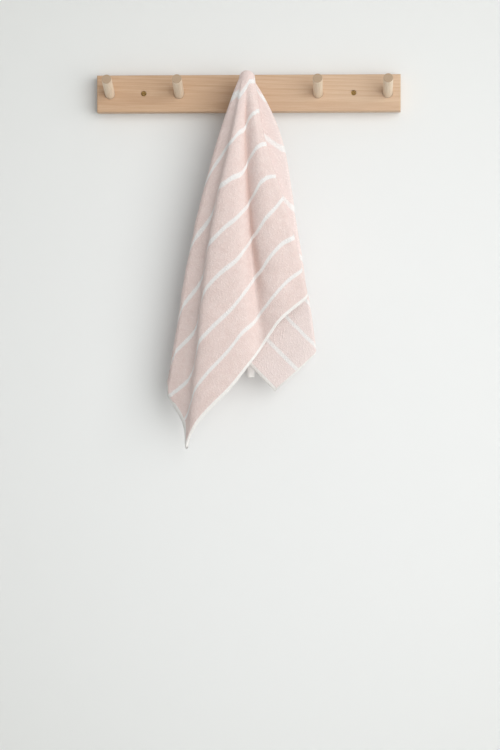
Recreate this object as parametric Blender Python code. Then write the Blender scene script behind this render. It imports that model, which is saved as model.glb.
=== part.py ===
"""Guest towel hung over the middle peg of a small peg rail.

Frame: the origin is the centre of the rail's back face, +X runs to the viewer's right, +Y goes
into the wall, +Z is up. Everything hangs at y below zero. Lengths are metres, angles degrees.

The towel is a flat rectangle first: s runs along its stripes and t across them, and the point
(0, 0) is the one on top of the peg's tip. Every column of the cloth starts over the peg and runs
down to the towel's edge. The tables place the fold lines, and the cloth between them follows.
"""
import math

import bmesh
import bpy
import numpy as np
from mathutils import Matrix, Vector

# Rail and pegs
RAIL_LENGTH = 0.272
RAIL_HEIGHT = 0.033
RAIL_DEPTH = 0.012
RAIL_EDGE = 0.0008
PEG_COUNT = 5
PEG_PITCH = 0.0622
PEG_RADIUS = 0.0044
PEG_REACH = 0.0325
PEG_SEAT = 0.007
PEG_TILT = 17.0
PEG_EDGE = 0.0004
PEG_SIDES = 28

# Wall screws
SCREW_PLACE = 0.094
SCREW_HEAD = 0.0022
SCREW_SHANK = 0.0014
SCREW_SINK = 0.0016
SCREW_CONE = 0.0020
SCREW_LIP = 0.0005
SCREW_CROSS = 0.0026
SCREW_SLOT = 0.0006
SCREW_SIDES = 20
PAST = 0.004

# Pieces that touch keep GAP, the cloth's flat facets over the peg a little more, and the cloth
# behind them RAIL_GAP to the rail
GAP = 0.0003
FACET_SLACK = 0.0002
RAIL_GAP = 0.0025

# Towel, flat, measured from the point on the peg's tip
TOWEL_LEFT = 0.285
TOWEL_RIGHT = 0.215
TOWEL_BELOW = 0.185
TOWEL_ABOVE = 0.115
CLOTH = 0.0020

# Distances down a column at which the tables place each fold line
NECK = 0.045
WAIST = 0.150
HEM = 0.285

# Tape loop at the towel's hidden corner
LOOP_LENGTH = 0.050
LOOP_WIDTH = 0.0055
LOOP_TAPE = 0.0009
LOOP_BEND = 0.0011
LOOP_LAP = 0.006
LOOP_STEPS = 8

TILT = math.radians(PEG_TILT)
CAP = PEG_RADIUS / math.cos(TILT) + GAP + CLOTH / 2 + FACET_SLACK
CAP_ARC = CAP * math.pi / 2
TIP_Y = -RAIL_DEPTH - PEG_REACH * math.cos(TILT)
TIP_Z = PEG_REACH * math.sin(TILT)
BASE_Y = -RAIL_DEPTH - CLOTH / 2 - RAIL_GAP

# A fold line's place in the sheet is its girth. In the half of the sheet below the tip it is the
# angle of its column in degrees, 180 to 360. In the half above, the columns run parallel, and
# girth counts them in mm: below 180 they hang on the left, above 360 on the right.
LEFT_END = 180 - TOWEL_ABOVE * 1000
RIGHT_END = 360 + TOWEL_ABOVE * 1000

# Front layer, from its left fold to its right fold, in mm
FRONT_ROWS = (
    # girth, neck_x, neck_y, waist_x, waist_y, hem_x, hem_y
    (203.0, -18.5, -43.5, -46.5, -39.0, -70.0, -35.0),
    (209.5, -12.0, -46.0, -33.5, -44.0, -51.5, -43.5),
    (215.0, -9.0, -50.5, -30.0, -54.0, -43.0, -53.5),
    (221.0, -4.0, -49.5, -10.6, -57.5, -12.5, -58.0),
    (225.0, -1.4, -46.5, -2.0, -54.0, 4.6, -57.0),
    (228.0, 0.6, -47.0, 3.4, -45.0, 16.0, -54.0),
    (231.0, 2.9, -49.0, 9.7, -51.5, 25.6, -54.5),
    (235.5, 6.3, -50.5, 20.0, -55.5, 39.5, -56.0),
    (244.0, 11.0, -49.5, 39.5, -53.5, 71.0, -53.0),
)
FRONT_TURN = 2.8

# Length of each column that small crumples near the peg take up, in mm
TAKEN_UP = (
    # girth, length
    (192.0, 0.0),
    (203.0, 24.0),
    (213.0, 0.0),
)

# Pleats behind it, from front to back, in mm
RIGHT_PLEATS = (
    # girth, neck_x, waist_x, hem_x
    (265.0, -2.5, -7.0, -12.0),
    (286.0, 11.0, 38.0, 56.0),
    (306.0, -2.5, -12.0, -43.0),
    (327.6, 23.0, 44.0, 65.0),
    (344.5, 1.5, 4.0, 6.0),
    (359.5, 17.0, 43.0, 58.0),
    (399.0, 1.5, 4.0, 5.0),
    (437.0, 16.0, 42.0, 50.0),
    (RIGHT_END, 2.0, 4.5, -1.5),
)
LEFT_PLEATS = (
    # girth, neck_x, waist_x, hem_x
    (192.0, -7.5, -15.0, -32.0),
    (181.0, -17.0, -42.0, -59.0),
    (153.0, -7.5, -15.0, -32.0),
    (124.0, -16.5, -42.0, -58.0),
    (94.5, -7.5, -15.0, -33.0),
    (LEFT_END, -16.0, -41.0, -50.0),
)
FAN_TURN = 1.0
STRIP_TURN = 2.6
TURN_POINTS = 5
TURN_WIDE = 2.5

# Depth of the first and last of those pleats, in mm, at the neck, waist and hem
RIGHT_DEPTHS = ((-42.5, -40.5, -38.5), (-16.5, -15.5, -14.5))
LEFT_DEPTHS = ((-36.0, -28.5, -25.0), (-16.5, -14.5, -12.0))

# Share of the way round the peg, from its front to its foot, at which the front layer folds,
# and how much more steeply than straight a column leaves the peg on its way out to the neck
LEFT_FOLD_AT = -0.19
RIGHT_FOLD_AT = 0.17
COLLAR_TURN = 0.3
FLARE = 1.2

# Fineness of the cloth's grid
FRONT_STEP = 2.0
PLEAT_STEP = 12.0
CAP_ROWS = 3
FALL_ROWS = 12
FALL_CROWD = 1.5
FALL_SAMPLES = 60
STEEPEST = 0.35


def material(name, colour, roughness, metallic=0.0):
    """One Principled BSDF material."""
    made = bpy.data.materials.new(name)
    made.use_nodes = True
    shader = made.node_tree.nodes["Principled BSDF"]
    shader.inputs["Base Color"].default_value = (*colour, 1.0)
    shader.inputs["Roughness"].default_value = roughness
    shader.inputs["Metallic"].default_value = metallic
    return made


def add_object(name, mesh, finish):
    """Links a mesh to the scene as a named object with one material."""
    mesh.materials.clear()
    mesh.materials.append(finish)
    made = bpy.data.objects.new(name, mesh)
    bpy.context.scene.collection.objects.link(made)
    return made


def mesh_of(shape, name):
    """Turns a bmesh into a mesh with its faces pointing out."""
    bmesh.ops.recalc_face_normals(shape, faces=shape.faces)
    made = bpy.data.meshes.new(name)
    shape.to_mesh(made)
    shape.free()
    return made


def block(width, depth, height, centre=(0, 0, 0)):
    """A plain box as a bmesh."""
    shape = bmesh.new()
    bmesh.ops.create_cube(shape, size=1.0)
    bmesh.ops.scale(shape, vec=(width, depth, height), verts=shape.verts)
    bmesh.ops.translate(shape, vec=centre, verts=shape.verts)
    return shape


def turned(rings, sides):
    """A solid turned round +Z from rings of (radius, height), bottom to top."""
    shape = bmesh.new()
    angles = [math.tau * k / sides for k in range(sides)]
    loops = [
        [shape.verts.new((r * math.cos(a), r * math.sin(a), z)) for a in angles] for r, z in rings
    ]
    for low, high in zip(loops, loops[1:]):
        for k in range(sides):
            following = (k + 1) % sides
            shape.faces.new((low[k], low[following], high[following], high[k]))
    shape.faces.new(loops[0])
    shape.faces.new(loops[-1])
    mesh = mesh_of(shape, "turned")
    mesh.shade_smooth()
    mesh.set_sharp_from_angle(angle=math.radians(35))
    return mesh


def rod(radius, length, sides, edge=0.0):
    """A round bar from z = 0 up, with its upper rim eased by edge."""
    rings = [(radius, 0.0), (radius, length - edge)]
    if edge:
        rings += [(radius - edge * 0.3, length - edge * 0.3), (radius - edge, length)]
    return turned(rings, sides)


def cut(target, name, mesh, place):
    """Takes a shape out of the target, and keeps the cutter as a hidden guide."""
    tool = bpy.data.objects.new(name, mesh)
    bpy.context.scene.collection.objects.link(tool)
    tool.matrix_world = place
    tool.hide_render = True
    tool.display_type = "WIRE"
    step = target.modifiers.new(name, "BOOLEAN")
    step.operation = "DIFFERENCE"
    step.object = tool


def peg_place(index, depth):
    """Where a peg's axis starts, at a depth inside the rail, with +Z along the peg."""
    out = Vector((0.0, -math.cos(TILT), math.sin(TILT)))
    across = (index - (PEG_COUNT - 1) / 2) * PEG_PITCH
    foot = Vector((across, -RAIL_DEPTH, 0.0)) - out * depth
    return Matrix.Translation(foot) @ out.to_track_quat("Z", "X").to_matrix().to_4x4()


def screw_place(side, depth):
    """Where a screw's axis starts, at a depth inside the rail, with +Z out of the wall."""
    turn = Matrix.Rotation(math.radians(90), 4, "X")
    return Matrix.Translation((side * SCREW_PLACE, -RAIL_DEPTH + depth, 0.0)) @ turn


def build_rail(finish):
    """The board: eased front edges, a blind bore for each peg and two sunk screw holes."""
    shape = block(RAIL_LENGTH, RAIL_DEPTH, RAIL_HEIGHT, (0, -RAIL_DEPTH / 2, 0))
    front = [e for e in shape.edges if all(v.co.y < -RAIL_DEPTH / 2 for v in e.verts)]
    bmesh.ops.bevel(shape, geom=front, offset=RAIL_EDGE, segments=2, profile=0.5, affect="EDGES")
    rail = add_object("rail", mesh_of(shape, "rail"), finish)
    for index in range(PEG_COUNT):
        bore = rod(PEG_RADIUS + GAP, PEG_SEAT + GAP + PAST, PEG_SIDES)
        cut(rail, f"bore_{index + 1}", bore, peg_place(index, PEG_SEAT + GAP))
    for number, side in enumerate((-1, 1), 1):
        under = SCREW_SINK + SCREW_CONE + GAP
        hole = turned(
            (
                (SCREW_SHANK + GAP, 0.0),
                (SCREW_SHANK + GAP, RAIL_DEPTH + PAST - under),
                (SCREW_HEAD + GAP, RAIL_DEPTH + PAST - SCREW_SINK - SCREW_LIP - GAP),
                (SCREW_HEAD + GAP, RAIL_DEPTH + PAST * 2),
            ),
            SCREW_SIDES,
        )
        cut(rail, f"hole_{number}", hole, screw_place(side, RAIL_DEPTH + PAST))


def build_pegs(finish):
    """Round pegs, tilted up, seated in the board."""
    for index in range(PEG_COUNT):
        mesh = rod(PEG_RADIUS, PEG_SEAT + PEG_REACH, PEG_SIDES, PEG_EDGE)
        peg = add_object(f"peg_{index + 1}", mesh, finish)
        peg.matrix_world = peg_place(index, PEG_SEAT)


def build_screws(finish):
    """Sunk screws with a cross in the head. They end just inside the board's back face."""
    length = RAIL_DEPTH - GAP - SCREW_SINK
    rings = (
        (SCREW_SHANK, 0.0),
        (SCREW_SHANK, length - SCREW_CONE),
        (SCREW_HEAD, length - SCREW_LIP),
        (SCREW_HEAD, length),
    )
    for number, side in enumerate((-1, 1), 1):
        screw = add_object(f"screw_{number}", turned(rings, SCREW_SIDES), finish)
        screw.matrix_world = screw_place(side, RAIL_DEPTH - GAP)
        for name, wide, high in (
            ("across", SCREW_CROSS, SCREW_SLOT),
            ("up", SCREW_SLOT, SCREW_CROSS),
        ):
            slot = mesh_of(block(wide, high, SCREW_LIP * 3), "slot")
            cut(screw, f"slot_{number}_{name}", slot, screw_place(side, SCREW_SINK))


def smooth_curve(stations, values, places, first_slope=None):
    """Cubic Hermite pieces through values at stations, read at places, and straight beyond."""
    stations = np.asarray(stations, float)
    values = np.asarray(values, float)
    slopes = np.gradient(values, stations, axis=0)
    if first_slope is not None:
        slopes[0] = first_slope
    inside = np.minimum(places, stations[-1])
    piece = np.clip(np.searchsorted(stations, inside) - 1, 0, len(stations) - 2)
    span = stations[piece + 1] - stations[piece]
    u = (inside - stations[piece]) / span
    extra = (...,) + (None,) * (values.ndim - 1)
    u, span = u[extra], span[extra]
    beyond = (places - inside)[extra] * slopes[-1]
    return beyond + (
        (1 + 2 * u) * (1 - u) ** 2 * values[piece]
        + u * (1 - u) ** 2 * span * slopes[piece]
        + u**2 * (3 - 2 * u) * values[piece + 1]
        - u**2 * (1 - u) * span * slopes[piece + 1]
    )


def turn(girth, half, x, y_from, y_to, side):
    """Knots round one fold: half an ellipse, out to x, from one depth to the next."""
    deep = (y_to - y_from) / 2
    wide = np.minimum(np.abs(deep), TURN_WIDE)
    knots = []
    for k in range(TURN_POINTS):
        sweep = k / (TURN_POINTS - 1)
        angle = math.pi * (sweep - 0.5)
        spot_x = x - side * wide * (1 - math.cos(angle))
        spot_y = y_from + deep * (1 + math.sin(angle))
        knots.append((girth + half * (2 * sweep - 1), spot_x, spot_y))
    return knots


def pleat_turn(girth):
    """Half the girth that one hidden fold takes."""
    return FAN_TURN if 180 <= girth <= 360 else STRIP_TURN


def depth_list(ends, count):
    """Depths of the hidden layers, front to back, each at the neck, waist and hem."""
    first, last = (np.array(end) for end in ends)
    return [first + (last - first) * k / (count - 1) for k in range(count)]


def knot_table():
    """Girth, x and y of points along the sheet's section, left edge to right edge, in mm."""
    front = [(row[0], np.array(row[1::2]), np.array(row[2::2])) for row in FRONT_ROWS]
    left = [(row[0], np.array(row[1:])) for row in LEFT_PLEATS]
    right = [(row[0], np.array(row[1:])) for row in RIGHT_PLEATS]
    left_deep = depth_list(LEFT_DEPTHS, len(left))
    right_deep = depth_list(RIGHT_DEPTHS, len(right))

    knots = [(left[-1][0], left[-1][1], left_deep[-1])]
    for k in range(len(left) - 2, -1, -1):
        girth, x = left[k]
        side = 1 if k % 2 == 0 else -1
        knots += turn(girth, pleat_turn(girth), x, left_deep[k + 1], left_deep[k], side)
    left_fold = turn(front[0][0], FRONT_TURN, front[0][1], left_deep[0], front[0][2], -1)
    right_fold = turn(front[-1][0], FRONT_TURN, front[-1][1], front[-1][2], right_deep[0], 1)
    knots += left_fold
    rows = [left_fold[-1], *front[1:-1], right_fold[0]]
    girths = np.arange(rows[0][0] + FRONT_STEP / 2, rows[-1][0] - FRONT_STEP / 2, FRONT_STEP)
    spots = smooth_curve(
        [row[0] for row in rows], [np.stack(row[1:]) for row in rows], girths
    )
    knots += [(girth, spot[0], spot[1]) for girth, spot in zip(girths, spots)]
    knots += right_fold
    for k in range(len(right) - 1):
        girth, x = right[k]
        side = -1 if k % 2 == 0 else 1
        knots += turn(girth, pleat_turn(girth), x, right_deep[k], right_deep[k + 1], side)
    knots.append((right[-1][0], right[-1][1], right_deep[-1]))
    return knots


def collar_table():
    """Both sides of each fold: girth, and share of the way round the peg, -1 to 1 at its foot."""
    left = [row[0] for row in LEFT_PLEATS[::-1]] + [FRONT_ROWS[0][0]]
    right = [FRONT_ROWS[-1][0]] + [row[0] for row in RIGHT_PLEATS]
    girths, shares = [], []
    for folds, start, end in ((left, -1, LEFT_FOLD_AT), (right, RIGHT_FOLD_AT, 1)):
        pitch = (end - start) / (len(folds) - 1)
        for k, girth in enumerate(folds):
            if girth in (LEFT_END, RIGHT_END):
                half = 0.0
            else:
                half = FRONT_TURN if girth in (left[-1], right[0]) else pleat_turn(girth)
            for side in (-1, 1):
                girths.append(girth + side * max(half, 1e-6))
                shares.append(start + pitch * (k + side * COLLAR_TURN * (half > 0)))
    return girths, shares


def axis_height(y):
    """Height of the peg's axis at a depth, level past the tip."""
    return TIP_Z - np.maximum(y - TIP_Y, 0) * math.tan(TILT)


def collar_point(share):
    """Where the cloth leaves the peg's side, as far round the peg as the share says."""
    straight = BASE_Y - TIP_Y
    half_round = CAP * math.pi / 2
    reach = np.abs(share) * (straight + half_round)
    angle = np.minimum(reach, half_round) / CAP
    x = np.sign(share) * CAP * np.sin(angle)
    y = TIP_Y - CAP * np.cos(angle) + np.maximum(reach - half_round, 0)
    return np.stack((x, y, axis_height(y)), axis=-1)


def column_length(girth):
    """Distance from the ridge over the peg to the towel's edge, along a column as it hangs."""
    angle = np.radians(np.clip(girth, 180, 360))
    down = TOWEL_BELOW / np.maximum(-np.sin(angle), 1e-9)
    side = np.where(np.cos(angle) < 0, TOWEL_LEFT, TOWEL_RIGHT)
    across = side / np.maximum(np.abs(np.cos(angle)), 1e-9)
    return np.minimum(down, across) - np.interp(girth, *zip(*TAKEN_UP)) / 1000


def column_girths(knots):
    """The columns of the grid. Both halves above the tip have the same ones, to share a ridge."""
    corners = (
        180 + math.degrees(math.atan2(TOWEL_BELOW, TOWEL_LEFT)),
        360 - math.degrees(math.atan2(TOWEL_BELOW, TOWEL_RIGHT)),
    )
    marks = {round(g, 3) for g in (*(knot[0] for knot in knots), *corners, 180.0, 360.0)}
    above = {round(max(180 - mark, mark - 360), 3) for mark in marks}
    above = {height for height in above if height > 0}
    marks = sorted(marks | {180 - height for height in above} | {360 + height for height in above})
    columns = [marks[0]]
    for low, high in zip(marks, marks[1:]):
        steps = math.ceil((high - low) / PLEAT_STEP)
        columns += [low + (high - low) * (k + 1) / steps for k in range(steps)]
    return np.array(columns)


def column_places(girths, knots):
    """x and y of each column at the neck, waist and hem, in metres."""
    at = [k[0] for k in knots]
    table = np.array([np.stack(k[1:]) for k in knots]) / 1000
    flat = table.reshape(len(knots), -1)
    read = [np.interp(girths, at, flat[:, c]) for c in range(flat.shape[1])]
    return np.stack(read, axis=1).reshape(len(girths), 2, 3)


def towel_sheet():
    """The columns' girths, the cloth's middle surface, columns by rows by xyz, and which way it
    faces over the peg."""
    knots = knot_table()
    girths = column_girths(knots)
    collar = collar_point(np.interp(girths, *collar_table()))
    above = np.maximum(180 - girths, 0) + np.maximum(girths - 360, 0)
    ridge_y = TIP_Y + (BASE_Y - TIP_Y) * above / (TOWEL_ABOVE * 1000)
    ridge = np.stack((ridge_y * 0, ridge_y, axis_height(ridge_y)), axis=-1)
    axis = collar * (0, 1, 1)
    axis[:, 1] = np.maximum(axis[:, 1], TIP_Y)

    outward = []
    middles = []
    for k in range(CAP_ROWS + 1):
        sweep = math.pi / 2 * k / CAP_ROWS
        outward.append((collar - axis) / CAP * math.sin(sweep) + np.array((0, 0, math.cos(sweep))))
        middles.append(ridge + (axis - ridge) * (k / CAP_ROWS))
    outward = np.stack(outward, axis=1)
    cap = np.stack(middles, axis=1) + outward * CAP

    places = column_places(girths, knots)
    shares = np.linspace(0, 1, FALL_SAMPLES * FALL_ROWS + 1) ** FALL_CROWD
    falls = []
    for start, place, length in zip(collar, places, column_length(girths)):
        down = CAP_ARC + (length - CAP_ARC) * shares
        values = np.vstack((start[:2], place.T))
        flare = FLARE * (place[0, 0] - start[0]) / (NECK - CAP_ARC)
        first_slope = (flare if flare * start[0] > 0 else 0.0, 0.0)
        path = smooth_curve((CAP_ARC, NECK, WAIST, HEM), values, down, first_slope)
        step = np.diff(down)
        aside = np.sum(np.diff(path, axis=0) ** 2, axis=1)
        drop = np.sqrt(np.maximum(step**2 - aside, (STEEPEST * step) ** 2))
        heights = start[2] - np.concatenate(((0,), np.cumsum(drop)))
        falls.append(np.column_stack((path, heights))[::FALL_SAMPLES])
    return girths, np.concatenate((cap[:, :-1], np.stack(falls)), axis=1), outward


def sheet_faces(girths, rows):
    """Faces of one side of the cloth, and the vertex number of each grid point.

    Columns of the lower half all start at the one point on the tip, and the two columns at the
    same distance above it share their point on the ridge, so the grid closes over the peg.
    """
    columns = len(girths)
    number = np.arange(columns * rows).reshape(columns, rows)
    tip = number[np.searchsorted(girths, 180), 0]
    number[(girths >= 180) & (girths <= 360), 0] = tip
    above = np.round(180 - girths, 4)
    for column in np.flatnonzero(girths > 360):
        twin = np.flatnonzero(above == round(girths[column] - 360, 4))[0]
        number[column, 0] = number[twin, 0]
    faces = []
    for c in range(columns - 1):
        for r in range(rows - 1):
            ring = (number[c, r], number[c, r + 1], number[c + 1, r + 1], number[c + 1, r])
            faces.append(tuple(dict.fromkeys(int(v) for v in ring)))
    return faces, number


def vertex_normals(points, faces):
    """Unit normals at the points, weighted by the faces' areas."""
    normals = np.zeros_like(points)
    for face in faces:
        corners = points[list(face)]
        turned_by = np.cross(corners[2] - corners[0], corners[-1] - corners[1])
        if len(face) == 3:
            turned_by = np.cross(corners[1] - corners[0], corners[2] - corners[0])
        normals[list(face)] += turned_by
    return normals / np.maximum(np.linalg.norm(normals, axis=1, keepdims=True), 1e-12)


def build_towel(finish):
    """The towel: one closed solid, the hung sheet with its thickness."""
    girths, grid, outward = towel_sheet()
    rows = grid.shape[1]
    faces, number = sheet_faces(girths, rows)
    points = grid.reshape(-1, 3)
    normals = vertex_normals(points, faces)
    normals[number[:, : outward.shape[1]]] = outward
    count = len(points)
    both = np.vstack((points + normals * CLOTH / 2, points - normals * CLOTH / 2))
    edge = [int(v) for v in number[0]] + [int(v) for v in number[1:, -1]]
    edge += [int(v) for v in number[-1, -2:0:-1]]
    rim = [(a, a + count, b + count, b) for a, b in zip(edge, edge[1:] + edge[:1])]
    back = [tuple(v + count for v in reversed(face)) for face in faces]
    mesh = bpy.data.meshes.new("towel")
    mesh.from_pydata(both.tolist(), [], faces + back + rim)
    shape = bmesh.new()
    shape.from_mesh(mesh)
    loose = [v for v in shape.verts if not v.link_faces]
    bmesh.ops.delete(shape, geom=loose, context="VERTS")
    bmesh.ops.triangulate(shape, faces=shape.faces)
    bpy.data.meshes.remove(mesh)
    mesh = mesh_of(shape, "towel")
    mesh.shade_smooth()
    mesh.set_sharp_from_angle(angle=math.radians(60))
    return add_object("towel", mesh, finish), grid[-1, -1]


def build_loop(corner, finish):
    """A strip of tape folded double, behind the hidden corner, hanging below it."""
    top = corner + np.array((0, CLOTH / 2 + GAP + LOOP_TAPE / 2, LOOP_LAP))
    length = LOOP_LENGTH + LOOP_LAP - LOOP_BEND
    middle = [(0.0, 0.0), (0.0, -length)]
    for k in range(1, LOOP_STEPS):
        angle = math.pi * k / LOOP_STEPS
        middle.append((LOOP_BEND * (1 - math.cos(angle)), -length - LOOP_BEND * math.sin(angle)))
    middle += [(2 * LOOP_BEND, -length), (2 * LOOP_BEND, 0.0)]
    middle = np.array(middle)
    along_it = np.gradient(middle, axis=0)
    aside = np.column_stack((along_it[:, 1], -along_it[:, 0]))
    aside /= np.linalg.norm(aside, axis=1, keepdims=True)
    outline = np.vstack((middle + aside * LOOP_TAPE / 2, (middle - aside * LOOP_TAPE / 2)[::-1]))
    shape = bmesh.new()
    sides = [
        [shape.verts.new((top[0] + x, top[1] + y, top[2] + z)) for y, z in outline]
        for x in (-LOOP_WIDTH / 2, LOOP_WIDTH / 2)
    ]
    total = len(outline)
    for k in range(total):
        following = (k + 1) % total
        shape.faces.new((sides[0][k], sides[0][following], sides[1][following], sides[1][k]))
    for side in sides:
        half = total // 2
        for k in range(half - 1):
            shape.faces.new((side[k], side[k + 1], side[total - 2 - k], side[total - 1 - k]))
    add_object("hanger_loop", mesh_of(shape, "hanger_loop"), finish)


def main():
    """Clears the scene and builds the rail, its pegs and screws, and the towel with its loop."""
    for old in list(bpy.data.objects):
        bpy.data.objects.remove(old, do_unlink=True)
    build_rail(material("beech", (0.62, 0.42, 0.28), 0.55))
    build_pegs(material("pale_maple", (0.74, 0.58, 0.44), 0.5))
    build_screws(material("brass", (0.62, 0.45, 0.22), 0.35, 1.0))
    _, corner = build_towel(material("pink_terry", (0.80, 0.64, 0.60), 0.95))
    build_loop(corner, material("white_tape", (0.86, 0.85, 0.83), 0.85))


main()
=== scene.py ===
# %% [markdown]
# # A guest towel on a peg rail
# A striped terry towel hangs by a point of its cloth from the middle peg of a small wooden rail.
# The solid model of the rail, pegs and screws is loaded as a frame and stays. The towel and its
# tape loop are made again here, finer and softer, in the same place, and every surface gets a
# finish worked out by nodes.

# %% Load the frame
import math

import bmesh
import bpy
import numpy as np
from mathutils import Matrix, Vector


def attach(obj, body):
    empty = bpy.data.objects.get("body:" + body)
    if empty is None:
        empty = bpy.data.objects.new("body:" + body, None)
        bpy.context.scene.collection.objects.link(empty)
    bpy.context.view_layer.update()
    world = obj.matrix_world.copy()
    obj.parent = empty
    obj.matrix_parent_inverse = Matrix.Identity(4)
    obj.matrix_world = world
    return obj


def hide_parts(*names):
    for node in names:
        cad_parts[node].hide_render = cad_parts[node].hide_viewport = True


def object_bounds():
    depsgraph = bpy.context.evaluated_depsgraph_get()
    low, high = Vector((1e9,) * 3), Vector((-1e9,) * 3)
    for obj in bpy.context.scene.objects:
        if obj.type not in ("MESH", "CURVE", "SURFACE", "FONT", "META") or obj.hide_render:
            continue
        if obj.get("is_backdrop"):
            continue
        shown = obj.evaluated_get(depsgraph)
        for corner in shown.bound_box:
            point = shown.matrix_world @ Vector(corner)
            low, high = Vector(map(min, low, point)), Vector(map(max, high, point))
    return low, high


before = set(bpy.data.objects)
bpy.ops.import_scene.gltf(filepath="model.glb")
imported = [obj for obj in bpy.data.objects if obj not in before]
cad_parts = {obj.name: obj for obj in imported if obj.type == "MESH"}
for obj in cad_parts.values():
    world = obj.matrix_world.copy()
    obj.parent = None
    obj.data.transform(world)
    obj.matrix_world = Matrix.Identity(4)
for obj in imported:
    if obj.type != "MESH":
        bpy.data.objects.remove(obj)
cad_low, cad_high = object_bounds()
print("nodes", sorted(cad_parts))

# %% [markdown]
# ## Camera
# A long lens from a little over two metres away, level, and slightly right of the rail's middle.
# The towel is small in a tall picture with a lot of wall under it.

# %% Camera
CAMERA_AT = Vector((0.0864, -2.186, -0.2522))
CAMERA_AIM = Vector((0.0009, 0.0, -0.2522))
CAMERA_LENS = 116.7

camera_data = bpy.data.cameras.new("camera")
camera_data.lens = CAMERA_LENS
camera_data.sensor_width = 36.0
camera = bpy.data.objects.new("camera", camera_data)
camera.location = CAMERA_AT
camera.rotation_euler = (CAMERA_AIM - CAMERA_AT).to_track_quat("-Z", "Y").to_euler()
bpy.context.scene.collection.objects.link(camera)
bpy.context.scene.camera = camera
print("camera", round((CAMERA_AIM - CAMERA_AT).length, 3), "m from the wall")

# %% [markdown]
# ## The towel's fold plan
# Cloth that hangs from one point falls in pleats that all start there. It could be simulated,
# but a simulation rarely lands on one given arrangement of folds. So the folds are planned:
# a table says which line of the flat towel each fold follows, and where that line hangs at three
# distances down from the peg. A line's girth is its place round the sheet. From 180 to 360 it is
# the line's angle, for lines that fan out from the tip. Below 180 and above 360 it counts
# millimetres behind the tip, for lines that hang side by side from the peg.
#
# Two small tables say where the real cloth isn't even. One has the length that crumples near the
# peg take up, the other how far the stripes run off, measured where they show.

# %% Fold tables, in mm
PEG_RADIUS, PEG_REACH, PEG_TILT = 0.0044, 0.0325, math.radians(17)
PEG_PITCH, RAIL_DEPTH = 0.0622, 0.012
CLOTH, GAP, FACET_SLACK, RAIL_GAP = 0.0020, 0.0003, 0.0002, 0.0025
TOWEL_LEFT, TOWEL_RIGHT, TOWEL_BELOW, TOWEL_ABOVE = 0.285, 0.215, 0.185, 0.115
NECK, WAIST, HEM = 0.045, 0.150, 0.285
LEFT_END, RIGHT_END = 180 - TOWEL_ABOVE * 1000, 360 + TOWEL_ABOVE * 1000

FRONT_ROWS = np.array((
    # girth, neck_x, waist_x, hem_x, neck_y, waist_y, hem_y
    (203.0, -18.5, -46.5, -70.0, -43.5, -39.0, -35.0),
    (209.5, -12.0, -33.5, -51.5, -46.0, -44.0, -43.5),
    (215.0, -9.0, -30.0, -43.0, -50.5, -54.0, -53.5),
    (221.0, -4.0, -10.6, -12.5, -49.5, -57.5, -58.0),
    (225.0, -1.4, -2.0, 4.6, -46.5, -54.0, -57.0),
    (228.0, 0.6, 3.4, 16.0, -47.0, -45.0, -54.0),
    (231.0, 2.9, 9.7, 25.6, -49.0, -51.5, -54.5),
    (235.5, 6.3, 20.0, 39.5, -50.5, -55.5, -56.0),
    (244.0, 11.0, 39.5, 71.0, -49.5, -53.5, -53.0),
))
RIGHT_PLEATS = np.array((
    # girth, neck_x, waist_x, hem_x
    (265.0, -2.5, -7.0, -12.0),
    (286.0, 11.0, 38.0, 56.0),
    (306.0, -2.5, -12.0, -43.0),
    (327.6, 23.0, 44.0, 65.0),
    (344.5, 1.5, 4.0, 6.0),
    (359.5, 17.0, 43.0, 58.0),
    (399.0, 1.5, 4.0, 5.0),
    (437.0, 16.0, 42.0, 50.0),
    (RIGHT_END, 2.0, 4.5, -1.5),
))
LEFT_PLEATS = np.array((
    # girth, neck_x, waist_x, hem_x
    (192.0, -7.5, -15.0, -32.0),
    (181.0, -17.0, -42.0, -59.0),
    (153.0, -7.5, -15.0, -32.0),
    (124.0, -16.5, -42.0, -58.0),
    (94.5, -7.5, -15.0, -33.0),
    (LEFT_END, -16.0, -41.0, -50.0),
))
# y at the neck, waist and hem, of the first hidden layer and the last
RIGHT_DEPTHS = np.array(((-42.5, -40.5, -38.5), (-16.5, -15.5, -14.5)))
LEFT_DEPTHS = np.array(((-36.0, -28.5, -25.0), (-16.5, -14.5, -12.0)))
# half of the girth that each kind of fold takes, and how far a fold stands out at most
FRONT_TURN, FAN_TURN, STRIP_TURN, TURN_WIDE = 2.8, 1.0, 2.6, 2.5
# where the two front folds leave the peg, from -1 to 1 round it, and how cloth leaves it
LEFT_FOLD_AT, RIGHT_FOLD_AT, COLLAR_TURN, FLARE = -0.19, 0.17, 0.3, 1.2
TAKEN_UP = np.array((
    # girth, length that small crumples near the peg take up
    (192.0, 0.0),
    (203.0, 24.0),
    (213.0, 0.0),
))
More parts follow.
